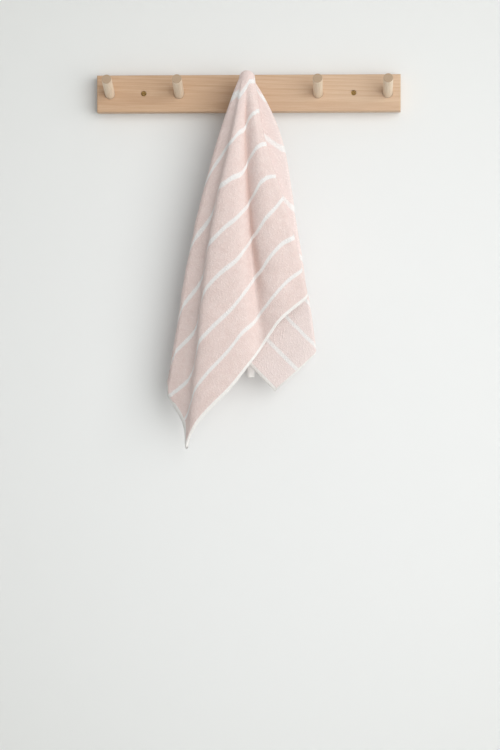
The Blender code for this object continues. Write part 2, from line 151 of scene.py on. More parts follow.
# how far each stripe lies from the tip, straight across the stripes
STRIPES_AT = np.array((10.0, 35.0, 60.0, 85.0, 110.0, 135.0, 160.0))
STRIPE_DRIFT = np.array((
    # girth, how much further down its line each stripe runs than in a perfectly even cloth
    (185.0, 0, 0, 0, 0, 0, 0, 0),
    (199.0, 5, 36, 33, 40, 18, 0, 0),
    (203.0, 5, 35, 33, 43, 24, 0, 0),
    (206.0, 5, 16, 26, 34, 20, 8, 0),
    (209.6, 4, 4, 16, 26, 20, 14, 0),
    (214.0, 9, 7, 0, 8, 8, 6, 4),
    (215.8, 9, 7, 3, 10, 8, 9, 6),
    (218.8, 6, 3, 3, 6, 5, 8, 4),
    (222.8, 4, 4, 7, 6, 7, 7, 1),
    (226.8, 2, 4, 4, 6, 4, 5, 6),
    (230.8, 0, 0, 2, 4, 5, 7, 7),
    (234.8, 1, -1, -1, -1, 1, 4, 7),
    (238.8, 1, 0, 0, 0, -1, 1, 4),
    (242.6, 2, 0, 2, 4, -4, 4, 5),
    (249.0, 0, 0, 0, 0, 0, 0, 0),
    (312.0, 0, 0, 0, 0, 0, 0, 0),
    (318.0, -6, 4, 8, 6, 4, 0, 0),
    (327.6, 9, 9, 17, 16, 10, 2, 0),
    (345.0, 0, 0, 0, 0, 0, 0, 0),
))
print("folds", len(FRONT_ROWS) + len(RIGHT_PLEATS) + len(LEFT_PLEATS) - 2)

# %% [markdown]
# ## From the plan to a section
# The section of the hanging cloth is one long line that swings left and right. Each fold in it is
# half an ellipse. Between folds the line is straight, except in the front layer, where a smooth
# curve through the table gives the soft ridge and the valleys that show.

# %% Section through the folds
TURN_POINTS, FRONT_STEP = 9, 1.0


def hermite(stations, values, places, first_slope=None):
    """Smooth curve through values[..., station, :], read at places[..., sample].

    Each stretch is a cubic whose slopes are the central differences at its two stations. Past
    the last station the curve goes on straight.
    """
    slopes = np.gradient(values, stations, axis=-2)
    if first_slope is not None:
        slopes[..., 0, :] = first_slope
    inside = np.minimum(places, stations[-1])
    piece = np.clip(np.searchsorted(stations, inside) - 1, 0, len(stations) - 2)
    span = (stations[piece + 1] - stations[piece])[..., None]
    u = (inside - stations[piece])[..., None] / span

    def at(table, index):
        return np.take_along_axis(table, index[..., None], axis=-2)

    return (
        (1 + 2 * u) * (1 - u) ** 2 * at(values, piece)
        + u * (1 - u) ** 2 * span * at(slopes, piece)
        + u**2 * (3 - 2 * u) * at(values, piece + 1)
        - u**2 * (1 - u) * span * at(slopes, piece + 1)
        + (places - inside)[..., None] * slopes[..., -1:, :]
    )


def fold(girth, half, x, y_from, y_to, side):
    """Half an ellipse: x = edge - wide (1 - cos a), y from one layer's depth to the next."""
    sweep = np.linspace(-1, 1, TURN_POINTS)
    angle = sweep[:, None] * math.pi / 2
    deep = (y_to - y_from) / 2
    wide = np.minimum(np.abs(deep), TURN_WIDE)
    out_x = x - side * wide * (1 - np.cos(angle))
    return np.hstack((girth + half * sweep[:, None], out_x, y_from + deep * (1 + np.sin(angle))))


def half_turn(girth):
    """Half of the girth that a hidden fold takes."""
    return FAN_TURN if 180 <= girth <= 360 else STRIP_TURN


def depths(ends, count):
    """Evenly spaced depths of the hidden layers, front to back."""
    return ends[0] + (ends[1] - ends[0]) * np.linspace(0, 1, count)[:, None]


left_deep = depths(LEFT_DEPTHS, len(LEFT_PLEATS))
right_deep = depths(RIGHT_DEPTHS, len(RIGHT_PLEATS))
knots = [np.hstack((LEFT_PLEATS[-1], left_deep[-1]))[None]]
for k in range(len(LEFT_PLEATS) - 2, -1, -1):
    girth, x = LEFT_PLEATS[k, 0], LEFT_PLEATS[k, 1:]
    side = 1 if k % 2 == 0 else -1
    knots.append(fold(girth, half_turn(girth), x, left_deep[k + 1], left_deep[k], side))
first, last = FRONT_ROWS[0], FRONT_ROWS[-1]
left_fold = fold(first[0], FRONT_TURN, first[1:4], left_deep[0], first[4:], -1)
right_fold = fold(last[0], FRONT_TURN, last[1:4], last[4:], right_deep[0], 1)
rows = np.vstack((left_fold[-1], FRONT_ROWS[1:-1], right_fold[0]))
front = np.arange(rows[0, 0] + FRONT_STEP / 2, rows[-1, 0] - FRONT_STEP / 2, FRONT_STEP)
knots += [left_fold, np.column_stack((front, hermite(rows[:, 0], rows[:, 1:], front))), right_fold]
for k in range(len(RIGHT_PLEATS) - 1):
    girth, x = RIGHT_PLEATS[k, 0], RIGHT_PLEATS[k, 1:]
    side = -1 if k % 2 == 0 else 1
    knots.append(fold(girth, half_turn(girth), x, right_deep[k], right_deep[k + 1], side))
knots.append(np.hstack((RIGHT_PLEATS[-1], right_deep[-1]))[None])
knots = np.vstack(knots)
print("section has", len(knots), "points")

# %% [markdown]
# ## Columns
# The towel's grid has columns that run from the peg down to the hem. The two halves behind the tip
# have the same columns, because each pair shares its point on the ridge over the peg.

# %% Columns of the grid
PLEAT_STEP = 2.5


def refine(marks, step):
    """The marks with evenly spaced places between them, no further apart than step."""
    marks = np.unique(np.round(marks, 3))
    parts = [
        np.linspace(low, high, math.ceil((high - low) / step), endpoint=False)
        for low, high in zip(marks, marks[1:])
    ]
    return np.append(np.concatenate(parts), marks[-1])


corners = (
    180 + math.degrees(math.atan2(TOWEL_BELOW, TOWEL_LEFT)),
    360 - math.degrees(math.atan2(TOWEL_BELOW, TOWEL_RIGHT)),
)
marks = knots[:, 0]
fan = refine([*marks[(marks > 180) & (marks < 360)], *corners, 180, 360], PLEAT_STEP)
behind = np.concatenate((180 - marks[marks < 180], marks[marks > 360] - 360, (0,)))
behind = refine(behind, PLEAT_STEP)[1:]
girths = np.concatenate((180 - behind[::-1], fan, 360 + behind))
print(len(girths), "columns")

# %% [markdown]
# ## Over the peg and down
# A column starts on the ridge above the peg, goes round the cloth's rounded seat on the peg to its
# collar, at the height of the peg's axis, and then falls. On the way down its x and y come from
# the section. Its z comes from its length: the cloth doesn't stretch, so each short step down is
# what is left of the step's length after it has gone sideways.

# %% Middle surface of the cloth
CAP_ROWS, FALL_ROWS, FALL_SAMPLES, FALL_CROWD, STEEPEST = 8, 96, 10, 1.5, 0.35
CAP = PEG_RADIUS / math.cos(PEG_TILT) + GAP + CLOTH / 2 + FACET_SLACK
CAP_ARC = CAP * math.pi / 2
TIP_Y, TIP_Z = -RAIL_DEPTH - PEG_REACH * math.cos(PEG_TILT), PEG_REACH * math.sin(PEG_TILT)
BASE_Y = -RAIL_DEPTH - CLOTH / 2 - RAIL_GAP


def table_at(table, girths):
    """The columns after a table's first one, read at each girth, straight between its rows."""
    return np.column_stack([np.interp(girths, table[:, 0], column) for column in table.T[1:]])


def line_angles(girths):
    """Angle of each line in the flat towel, in radians. Those behind the tip run along s."""
    return np.radians(np.clip(girths, 180, 360))


def axis_height(y):
    """Height of the peg's axis at a depth: it falls by the tilt's slope behind the tip."""
    return TIP_Z - np.maximum(y - TIP_Y, 0) * math.tan(PEG_TILT)


def collar_shares(girths):
    """How far round the peg each column leaves it, from -1 at the left foot to 1 at the right."""
    left = np.append(LEFT_PLEATS[::-1, 0], FRONT_ROWS[0, 0])
    right = np.append(FRONT_ROWS[-1, 0], RIGHT_PLEATS[:, 0])
    at, share = [], []
    for folds, start, end in ((left, -1, LEFT_FOLD_AT), (right, RIGHT_FOLD_AT, 1)):
        pitch = (end - start) / (len(folds) - 1)
        for k, girth in enumerate(folds):
            outer = girth in (LEFT_END, RIGHT_END)
            front_fold = girth in (FRONT_ROWS[0, 0], FRONT_ROWS[-1, 0])
            half = 1e-6 if outer else FRONT_TURN if front_fold else half_turn(girth)
            for side in (-1, 1):
                at.append(girth + side * half)
                share.append(start + pitch * (k + side * COLLAR_TURN * (not outer)))
    return np.interp(girths, at, share)


def collar_points(share):
    """Round the tip on a half circle, x = CAP sin a, then straight back beside the peg."""
    reach = np.abs(share) * (BASE_Y - TIP_Y + CAP_ARC)
    angle = np.minimum(reach, CAP_ARC) / CAP
    x = np.sign(share) * CAP * np.sin(angle)
    y = TIP_Y - CAP * np.cos(angle) + np.maximum(reach - CAP_ARC, 0)
    return np.stack((x, y, axis_height(y)), axis=-1)


def column_lengths(girths):
    """Flat distance from the ridge to the towel's edge: the lower edge or an end, the nearer."""
    angle = line_angles(girths)
    ends = np.where(np.cos(angle) < 0, TOWEL_LEFT, TOWEL_RIGHT)
    down = TOWEL_BELOW / np.maximum(-np.sin(angle), 1e-9)
    return np.minimum(down, ends / np.maximum(np.abs(np.cos(angle)), 1e-9))


above = np.maximum(180 - girths, 0) + np.maximum(girths - 360, 0)
ridge_y = TIP_Y + (BASE_Y - TIP_Y) * above / (TOWEL_ABOVE * 1000)
ridge = np.stack((ridge_y * 0, ridge_y, axis_height(ridge_y)), axis=-1)
collar = collar_points(collar_shares(girths))
axis = collar * (0, 1, 1)
axis[:, 1] = np.maximum(axis[:, 1], TIP_Y)
share = np.linspace(0, 1, CAP_ROWS + 1)[:, None]
sweep = share * math.pi / 2
cap_out = ((collar - axis) / CAP)[:, None] * np.sin(sweep) + np.array((0, 0, 1)) * np.cos(sweep)
cap = ridge[:, None] + (axis - ridge)[:, None] * share + cap_out * CAP

places = table_at(knots, girths).reshape(-1, 2, 3).swapaxes(1, 2) / 1000
flat_lengths = column_lengths(girths)
lengths = flat_lengths - table_at(TAKEN_UP, girths)[:, 0] / 1000
fall = np.linspace(0, 1, FALL_ROWS * FALL_SAMPLES + 1) ** FALL_CROWD
down = CAP_ARC + (lengths - CAP_ARC)[:, None] * fall
stations = np.array((CAP_ARC, NECK, WAIST, HEM))
flare = FLARE * (places[:, 0, 0] - collar[:, 0]) / (NECK - CAP_ARC)
first_slope = np.column_stack((np.where(flare * collar[:, 0] > 0, flare, 0), flare * 0))
path = hermite(stations, np.concatenate((collar[:, None, :2], places), axis=1), down, first_slope)
step = np.diff(down, axis=1)
aside = (np.diff(path, axis=1) ** 2).sum(axis=2)
drop = np.sqrt(np.maximum(step**2 - aside, (STEEPEST * step) ** 2))
height = collar[:, 2:] - np.hstack((np.zeros((len(girths), 1)), np.cumsum(drop, axis=1)))
falls = np.dstack((path, height))[:, ::FALL_SAMPLES]
middle = np.concatenate((cap[:, :-1], falls), axis=1)
round_peg = CAP_ARC * share[:-1, 0] * np.ones((len(girths), 1))
travel = np.concatenate((round_peg, down[:, ::FALL_SAMPLES]), axis=1)
print("cloth grid", middle.shape[:2], "lowest", round(middle[..., 2].min(), 4))

# %% [markdown]
# ## Where each point lies in the flat towel
# The stripes and hems belong to the flat cloth, so every point keeps its flat place: s along the
# stripes and t across them, both zero on the peg's tip. Where the drift table has a stripe further
# down, the cloth between it and the next is squeezed or stretched to match. Terry is also never
# quite even, so the surface gets long soft lumps of a third of a millimetre, from a few sine waves
# in s and t. They fade out towards the peg, where the folds are tight.

# %% Flat places, unevenness and facing
LUMP, LUMP_WAVES, LUMP_FROM, LUMP_TO = 0.00036, 14, 0.050, 0.150
LUMP_SHORT, LUMP_LONG, LUMP_SEED = 0.014, 0.060, 11
CALM_MARGIN = 3.0


def even_travel(flat_travel):
    """Travel in an even cloth: straight lines between the stripes as they really run."""
    drift = table_at(STRIPE_DRIFT, girths) / 1000
    across = np.maximum(-np.sin(line_angles(girths)), 1e-3)[:, None]
    end = flat_lengths[:, None]
    even = STRIPES_AT / 1000 / across
    real = np.where(even < end, np.minimum(even + drift, end), end)
    even, real = (np.hstack((end * 0, np.minimum(line, end), end)) for line in (even, real))
    total = flat_travel * 0
    for k in range(len(STRIPES_AT) + 1):
        reach = np.maximum(real[:, k + 1] - real[:, k], 1e-9)[:, None]
        rise = (even[:, k + 1] - even[:, k])[:, None] / reach
        total += rise * np.clip(flat_travel - real[:, k : k + 1], 0, reach)
    return total


angle = line_angles(girths)[:, None]
offset = above[:, None] / 1000
flat_travel = even_travel(travel * (flat_lengths / lengths)[:, None])
flat_s = flat_travel * np.cos(angle)
flat_t = flat_travel * np.sin(angle) * (offset == 0) + offset


def facing(grid):
    """Unit normals of a grid: each quad's diagonals crossed, summed at its four corners."""
    across = np.cross(grid[1:, 1:] - grid[:-1, :-1], grid[1:, :-1] - grid[:-1, 1:])
    total = np.zeros_like(grid)
    for c in (0, 1):
        for r in (0, 1):
            total[c : total.shape[0] - 1 + c, r : total.shape[1] - 1 + r] += across
    return total / np.maximum(np.linalg.norm(total, axis=2, keepdims=True), 1e-12)


def lumps(s, t):
    """Sum of sine waves 14 to 60 mm long in all directions, scaled to about one."""
    chance = np.random.default_rng(LUMP_SEED)
    total = 0
    for _ in range(LUMP_WAVES):
        length = chance.uniform(LUMP_SHORT, LUMP_LONG)
        heading, phase = chance.uniform(0, math.tau, 2)
        ahead = s * math.cos(heading) + t * math.sin(heading)
        total = total + np.sin(ahead * math.tau / length + phase)
    return total / math.sqrt(LUMP_WAVES)


def calmed(normals):
    """Normals of the open front layer, evened out sideways so that tight valleys stay clean."""
    beside = normals[:-2] + 2 * normals[1:-1] + normals[2:]
    evened = beside / np.linalg.norm(beside, axis=2, keepdims=True)
    low, high = FRONT_ROWS[0, 0] + CALM_MARGIN, FRONT_ROWS[-1, 0] - CALM_MARGIN
    open_front = ((girths > low) & (girths < high))[1:-1, None, None]
    inner = np.where(open_front, evened, normals[1:-1])
    return np.concatenate((normals[:1], inner, normals[-1:]))


normals = facing(middle)
normals[:, : CAP_ROWS + 1] = cap_out
fade = np.clip((travel - LUMP_FROM) / (LUMP_TO - LUMP_FROM), 0, 1)[..., None]
middle = middle + normals * LUMP * fade * lumps(flat_s, flat_t)[..., None]
normals[:, CAP_ROWS + 1 :] = calmed(calmed(facing(middle)))[:, CAP_ROWS + 1 :]
print("flat towel", np.ptp(flat_s).round(3), "by", np.ptp(flat_t).round(3), "m")

# %% [markdown]
# ## The towel as a closed piece
# The cloth is two skins a thickness apart, joined at the hems by a rounded rim. The ends have a
# hem folded double, a little thicker, and the sides only a narrow one.

# %% Build the towel
HEM_WIDE, NARROW_HEM, SIDE_WIDE = 0.0062, 0.0008, 0.0024
HEM_BULGE, RIM_ROUND = 0.0004, 0.0007


def as_mesh(name, points, faces, flat):
    """Puts points and faces into a mesh, with the flat place of each point as an attribute."""
    mesh = bpy.data.meshes.new(name)
    mesh.from_pydata(points.tolist(), [], faces)
    mesh.attributes.new("flat", "FLOAT_VECTOR", "POINT").data.foreach_set("vector", flat.ravel())
    shape = bmesh.new()
    shape.from_mesh(mesh)
    bmesh.ops.delete(shape, geom=[v for v in shape.verts if not v.link_faces], context="VERTS")
    bmesh.ops.recalc_face_normals(shape, faces=shape.faces)
    shape.to_mesh(mesh)
    shape.free()
    mesh.shade_smooth()
    piece = bpy.data.objects.new(name, mesh)
    bpy.context.scene.collection.objects.link(piece)
    return piece


columns, depth = middle.shape[:2]
number = np.arange(columns * depth).reshape(columns, depth)
behind_count = len(behind)
number[behind_count : columns - behind_count, 0] = number[behind_count, 0]
number[columns - behind_count :, 0] = number[behind_count - 1 :: -1, 0]
ring = np.stack((number[:-1, :-1], number[:-1, 1:], number[1:, 1:], number[1:, :-1]), axis=-1)
ring = ring.reshape(-1, 4)
closed = ring[:, 0] == ring[:, 3]
skin = ring[~closed].tolist() + ring[closed, :3].tolist()

to_end = np.minimum(flat_s + TOWEL_LEFT, TOWEL_RIGHT - flat_s + HEM_WIDE - NARROW_HEM)
bulge = HEM_BULGE * np.clip((HEM_WIDE - to_end) / (HEM_WIDE / 2), 0, 1)
half = (CLOTH / 2 + bulge)[..., None]
front_skin = (middle + normals * half).reshape(-1, 3)
back_skin = (middle - normals * half).reshape(-1, 3)

outwards = np.zeros_like(middle)
outwards[:, -1] += middle[:, -1] - middle[:, -2]
outwards[0, 1:] += middle[0, 1:] - middle[1, 1:]
outwards[-1, 1:] += middle[-1, 1:] - middle[-2, 1:]
outwards /= np.maximum(np.linalg.norm(outwards, axis=2, keepdims=True), 1e-9)
edge = np.concatenate((number[0], number[1:, -1], number[-1, -2:0:-1]))
rim = middle.reshape(-1, 3)[edge] + outwards.reshape(-1, 3)[edge] * RIM_ROUND
count, following = columns * depth, np.roll(np.arange(len(edge)), -1)
here = 2 * count + np.arange(len(edge))
there = 2 * count + following
rim_faces = np.vstack((
    np.column_stack((edge, here, there, edge[following])),
    np.column_stack((here, edge + count, edge[following] + count, there)),
))
back = [[v + count for v in reversed(face)] for face in skin]
flat = np.stack((flat_s, flat_t, flat_s * 0), axis=-1).reshape(-1, 3)
towel = as_mesh(
    "terry_towel",
    np.vstack((front_skin, back_skin, rim)),
    skin + back + rim_faces.tolist(),
    np.vstack((flat, flat, flat[edge])),
)
print("towel faces", len(towel.data.polygons))

# %% [markdown]
# ## The tape loop
# A loop of woven tape is sewn to the corner that hangs at the back. It hangs straight down, folded
# double, and only its tip shows in the notch between the two lower edges. The strip follows a
# path down, round a tight bend and up again, and turns a little as it goes, as tape does.

# %% Build the loop
LOOP_LENGTH, LOOP_WIDTH, LOOP_TAPE = 0.050, 0.0055, 0.0009
LOOP_BEND, LOOP_LAP, LOOP_TWIST = 0.0011, 0.006, math.radians(24)
RUN_POINTS, BEND_POINTS, LOOP_ACROSS, SELVEDGE = 36, 13, 7, 0.55

corner = middle[-1, -1]
top = corner + np.array((0, CLOTH / 2 + GAP + LOOP_TAPE / 2, LOOP_LAP))
reach = LOOP_LENGTH + LOOP_LAP - LOOP_BEND
run = np.linspace(0, reach, RUN_POINTS)
bend = np.linspace(0, math.pi, BEND_POINTS)[1:-1]
path_y = np.concatenate((run * 0, LOOP_BEND * (1 - np.cos(bend)), run * 0 + 2 * LOOP_BEND))
path_z = np.concatenate((-run, -reach - LOOP_BEND * np.sin(bend), -run[::-1]))
ahead = np.gradient(np.column_stack((path_y, path_z)), axis=0)
ahead /= np.linalg.norm(ahead, axis=1, keepdims=True)
aside_yz = np.column_stack((ahead[:, 1], -ahead[:, 0]))
across = np.linspace(-1, 1, LOOP_ACROSS)[None, :, None]
profile = np.stack((path_y, path_z), axis=-1)[:, None]
thickness = SELVEDGE + (1 - SELVEDGE) * np.sqrt(np.clip(1 - across**2, 0, 1))
sheets = [profile + sign * aside_yz[:, None] * thickness * LOOP_TAPE / 2 for sign in (1, -1)]
wide = np.broadcast_to(across * LOOP_WIDTH / 2, sheets[0].shape[:2] + (1,))
outer, inner = (np.concatenate((wide, sheet), axis=2) for sheet in sheets)
section = np.concatenate((outer, inner[:, ::-1]), axis=1)
twist = LOOP_TWIST * (section[..., 2:] / reach) ** 2
centre_y = section[..., 1:2] - LOOP_BEND
loop_grid = np.concatenate((
    section[..., :1] * np.cos(twist) - centre_y * np.sin(twist),
    section[..., :1] * np.sin(twist) + centre_y * np.cos(twist) + LOOP_BEND,
    section[..., 2:],
), axis=2) + top
along, round_it = loop_grid.shape[:2]
index = np.arange(along * round_it).reshape(along, round_it)
beside = np.roll(index, -1, axis=1)
walls = np.stack((index[:-1], beside[:-1], beside[1:], index[1:]), axis=-1).reshape(-1, 4)
ends = [
    [int(e[k]), int(e[k + 1]), int(e[round_it - 2 - k]), int(e[round_it - 1 - k])]
    for e in (index[0], index[-1])
    for k in range(LOOP_ACROSS - 1)
]
strip = np.cumsum(np.append(0, np.hypot(np.diff(path_y), np.diff(path_z))))
tape_s = np.broadcast_to(strip[:, None], (along, round_it))
tape_flat = np.stack((tape_s, section[..., 0], tape_s * 0), axis=-1).reshape(-1, 3)
loop = as_mesh("tape_loop", loop_grid.reshape(-1, 3), walls.tolist() + ends, tape_flat)
print("loop ends at z", round(loop_grid[..., 2].min(), 4))

# %% [markdown]
# ## Finishes in nodes
# Shader maths reads best as ordinary sums. This small class wraps a socket, so a sum written with
# it adds the Math nodes, and one method adds any other node.

# %% Node helpers
MM, PLAIN = 1000.0, (1.0, 1.0, 1.0, 1.0)


class Value:
    """A socket that carries a number, a vector or a colour, and knows how to be added up."""

    def __init__(self, tree, socket):
        self.tree = tree
        self.socket = socket

    def node(self, kind, settings, sockets, output=0):
        """One node: its settings first, then the values or links of its sockets."""
        made = self.tree.nodes.new(kind)
        for name, value in settings.items():
            setattr(made, name, value)
        for name, value in sockets.items():
            if isinstance(value, Value):
                self.tree.links.new(value.socket, made.inputs[name])
            else:
                made.inputs[name].default_value = value
        return Value(self.tree, made.outputs[output])

    def maths(self, operation, *others):
        """One Math node, with this number as its first term."""
        terms = dict(enumerate((self, *others)))
        return self.node("ShaderNodeMath", {"operation": operation}, terms)

    def __add__(self, other):
        return self.maths("ADD", other)

    def __sub__(self, other):
        return self.maths("SUBTRACT", other)

    def __rsub__(self, other):
        return self.node("ShaderNodeMath", {"operation": "SUBTRACT"}, {0: other, 1: self})

    def __mul__(self, other):
        return self.maths("MULTIPLY", other)

    def __truediv__(self, other):
        return self.maths("DIVIDE", other)

    def __pow__(self, other):
        return self.maths("POWER", other)

    __radd__ = __add__
    __rmul__ = __mul__

    def size(self):
        """The number without its sign."""
        return self.maths("ABSOLUTE")

    def whole(self):
        """The whole number just below."""
        return self.maths("FLOOR")

    def fraction(self):
        """What the number has above the whole number just below."""
        return self.maths("FRACT")

    def wave(self):
        """The sine of the number."""
        return self.maths("SINE")

    def least(self, other):
        """The smaller of two numbers."""
        return self.maths("MINIMUM", other)

    def most(self, other):
        """The larger of two numbers."""
        return self.maths("MAXIMUM", other)

    def rise(self, start, end):
        """0 below start, 1 above end, and a smooth step between."""
        sockets = {"Value": self, "From Min": start, "From Max": end}
        return self.node("ShaderNodeMapRange", {"interpolation_type": "SMOOTHSTEP"}, sockets)

    def within(self, edge, soft):
        """1 inside an edge and 0 outside, with a smooth step that is soft wide on each side."""
        return 1 - self.rise(edge - soft, edge + soft)

    def nearest(self, pitch):
        """Distance to the nearest multiple of pitch."""
        return ((self / pitch + 0.5).fraction() - 0.5).size() * pitch

    def stretched(self, x, y, z):
        """A vector with each part scaled."""
        return self.node("ShaderNodeVectorMath", {"operation": "MULTIPLY"}, {0: self, 1: (x, y, z)})

    def noise(self, scale, detail=2.0, roughness=0.5):
        """Soft random values round 0.5 at a place."""
        sockets = {"Vector": self, "Scale": scale, "Detail": detail, "Roughness": roughness}
        return self.node("ShaderNodeTexNoise", {}, sockets)

    def parts(self):
        """The three numbers of a vector."""
        first = self.node("ShaderNodeSeparateXYZ", {}, {0: self})
        return [Value(self.tree, socket) for socket in first.socket.node.outputs]

    def blend(self, low, high):
        """A colour between low and high, by this number."""
        settings = {"data_type": "RGBA", "clamp_factor": True}
        return self.node("ShaderNodeMix", settings, {0: self, 6: low, 7: high}, 2)

    def tinted(self, tint):
        """This colour multiplied by another."""
        settings = {"data_type": "RGBA", "blend_type": "MULTIPLY"}
        return self.node("ShaderNodeMix", settings, {0: 1.0, 6: self, 7: tint}, 2)


def squares(a, b):
    """The sum of two squares."""
    return a * a + b * b


def colour(red, green, blue):
    """A linear colour from the usual 0 to 255 numbers."""
    def linear(value):
        value /= 255
        return value / 12.92 if value <= 0.04045 else ((value + 0.055) / 1.055) ** 2.4

    return (linear(red), linear(green), linear(blue), 1.0)


def finish(name, **fixed):
    """A new material: its shader node and the tools to feed it. Fixed sockets are set here."""
    material = bpy.data.materials.new(name)
    material.use_nodes = True
    shader = material.node_tree.nodes["Principled BSDF"]
    for socket, value in fixed.items():
        shader.inputs[socket.replace("_", " ")].default_value = value
    return material, shader, Value(material.node_tree, None)


def feed(shader, socket, value):
    """Links a worked-out value to one socket of the shader."""
    value.tree.links.new(value.socket, shader.inputs[socket])


def bump(shader, height, distance, strength):
    """Feeds the shader's Normal from a Bump node: height in units of distance, in metres."""
    sockets = {"Height": height, "Distance": distance, "Strength": strength}
    feed(shader, "Normal", height.node("ShaderNodeBump", {}, sockets))


def own_place(tools):
    """Each point's place in its own object, in millimetres."""
    return tools.node("ShaderNodeTexCoord", {}, {}, 3).stretched(MM, MM, MM)


def flat_place(tools):
    """Each point's place in the flat cloth, in millimetres."""
    place = tools.node("ShaderNodeAttribute", {"attribute_name": "flat"}, {}, 1)
    return place.stretched(MM, MM, MM)


# %% [markdown]
# ## Terry
# Terry is a carpet of small cotton loops, 1 to 2 mm across, that scatter the light: very rough,
# with a soft sheen at the edges. The gaps between the loops get painted shade, a darker tint. The
# stripes are the same loops in white yarn, one every 25 mm. The hems are flat weave without loops.
# The right half faces the light and is painted a little paler: painted light. In the deep valley
# between the two front folds the pile is painted darker: painted shade. All of it is drawn in the
# flat towel's own millimetres.

# %% Terry finish
PINK, PINK_DEEP = colour(247, 230, 225), colour(239, 218, 212)
# The pale pink is painted light for the right half, and the darker valley pink is painted shade.
PINK_PAINTED_LIGHT, PINK_VALLEY_SHADE = colour(250, 240, 238), colour(222, 196, 187)
WHITE, WHITE_DEEP = colour(253, 252, 251), colour(247, 244, 242)
HEM_WHITE, HEM_DEEP = colour(254, 253, 251), colour(247, 245, 241)
SHADE_BETWEEN_LOOPS = (0.93, 0.92, 0.92, 1.0)
STRIPE_PITCH, STRIPE_HALF, STRIPE_SOFT, STRIPE_RAGGED = 25.0, 1.55, 0.65, 0.8
SIDE_HEM_SOFT, END_HEM_SOFT, HEM_THREADS = 0.3, 0.4, 5.2
LOOPS_PER_MM, LOOP_SOFTNESS, LOOP_CHANCE, LOOP_EDGE = 0.72, 0.35, 0.9, 0.62
PATCH_SHARE, FUZZ_SHARE, PAINTED_LIGHT_SHARE, VALLEY_SHADE_SHARE = 0.55, 0.45, 0.55, 0.8
PINK_RANGE, WHITE_RANGE, CREASE_DEEP = (0.30, 0.66), (0.2, 0.7), 0.5
PAINTED_LIGHT_FROM, PAINTED_LIGHT_TO = -20, 60
VALLEY_SLOPE, VALLEY_BEND, VALLEY_CORE, VALLEY_EDGE = 0.94, 0.0019, 0.01, 0.10
VALLEY_OPENS, VALLEY_ENDS = (6, 30), (125, 165)
LOOPS_HIGH, FUZZ_HIGH, WEAVE_HIGH, STRIPE_LOW = 0.8, 0.5, 0.12, 0.15

terry, shader, tools = finish(
    "terry", Roughness=0.95, Specular_IOR_Level=0.15, Sheen_Weight=0.25, Sheen_Roughness=0.5
)
place = flat_place(tools)
s, t, _ = place.parts()
from_edge = t + TOWEL_BELOW * MM
ragged = (place.noise(scale=0.8, detail=2) - 0.5) * STRIPE_RAGGED
stripe = (from_edge.nearest(STRIPE_PITCH) + ragged).within(STRIPE_HALF, STRIPE_SOFT)
to_side = from_edge.least(TOWEL_ABOVE * MM - t)
to_end = (s + TOWEL_LEFT * MM).least((TOWEL_RIGHT + HEM_WIDE - NARROW_HEM) * MM - s)
side_hem = to_side.within(SIDE_WIDE * MM, SIDE_HEM_SOFT)
end_hem = to_end.within(HEM_WIDE * MM, END_HEM_SOFT)
hem = side_hem.most(end_hem)

loops = place.node(
    "ShaderNodeTexVoronoi", {"feature": "SMOOTH_F1"},
    {
        "Vector": place, "Scale": LOOPS_PER_MM,
        "Smoothness": LOOP_SOFTNESS, "Randomness": LOOP_CHANCE,
    },
)
patches = place.noise(scale=0.16, detail=3, roughness=0.6)
fuzz = place.noise(scale=1.5, detail=3, roughness=0.65)
tone = (patches * PATCH_SHARE + fuzz * FUZZ_SHARE).rise(*PINK_RANGE)
# Painted light: the right half, which faces the light, is blended towards the pale pink.
painted_light_right = s.rise(PAINTED_LIGHT_FROM, PAINTED_LIGHT_TO) * PAINTED_LIGHT_SHARE
pile = painted_light_right.blend(tone.blend(PINK_DEEP, PINK), PINK_PAINTED_LIGHT)
below = t.size()
# Painted shade: a band along the deep valley between the two front folds is painted darker.
from_valley = (t / s.least(-1.0) - (below * VALLEY_BEND + VALLEY_SLOPE)).size()
valley_shade = (1 - from_valley.rise(VALLEY_CORE, VALLEY_EDGE)) * (1 - below.rise(*VALLEY_ENDS))
valley_shade = valley_shade * below.rise(*VALLEY_OPENS) * VALLEY_SHADE_SHARE
pile = valley_shade.blend(pile, PINK_VALLEY_SHADE)

white = fuzz.rise(*WHITE_RANGE).blend(WHITE_DEEP, WHITE)
weave = (s * HEM_THREADS).wave() * (t * HEM_THREADS).wave() * 0.5 + 0.5
dressed = hem.blend(stripe.blend(pile, white), weave.blend(HEM_DEEP, HEM_WHITE))
# Painted shade: the gaps between the loops are tinted darker.
crease = (LOOP_EDGE - loops).rise(0.0, CREASE_DEEP)
feed(shader, "Base Color", dressed.tinted(crease.blend(SHADE_BETWEEN_LOOPS, PLAIN)))
raised = (crease * LOOPS_HIGH + fuzz * FUZZ_HIGH) * (1 - hem)
raised = raised + weave * hem * WEAVE_HIGH + (1 - stripe) * STRIPE_LOW
bump(shader, raised, distance=0.0006, strength=0.6)
towel.data.materials.append(terry)

# %% [markdown]
# ## Tape
# Cotton tape is a tight plain weave with a firm edge. Two crossed sine waves make its threads.
# It also glows faintly, painted light that keeps the white tape from going grey in the shade.

# %% Tape finish
# The glow is painted light: the tape shines faintly though it is no lamp.
TAPE_PAINTED_GLOW, TAPE_WHITE, TAPE_DEEP = 0.22, colour(252, 251, 249), colour(240, 239, 236)
WARP, WEFT = 6.3, 9.0

tape, shader, tools = finish(
    "cotton_tape", Roughness=0.85, Sheen_Weight=0.1,
    Emission_Strength=TAPE_PAINTED_GLOW, Emission_Color=colour(255, 253, 250),
)
s, t, _ = flat_place(tools).parts()
threads = (s * WARP).wave() * (t * WEFT).wave() * 0.5 + 0.5
feed(shader, "Base Color", threads.blend(TAPE_DEEP, TAPE_WHITE))
bump(shader, threads, distance=0.0002, strength=0.5)
loop.data.materials.append(tape)
print("cloth finishes done")
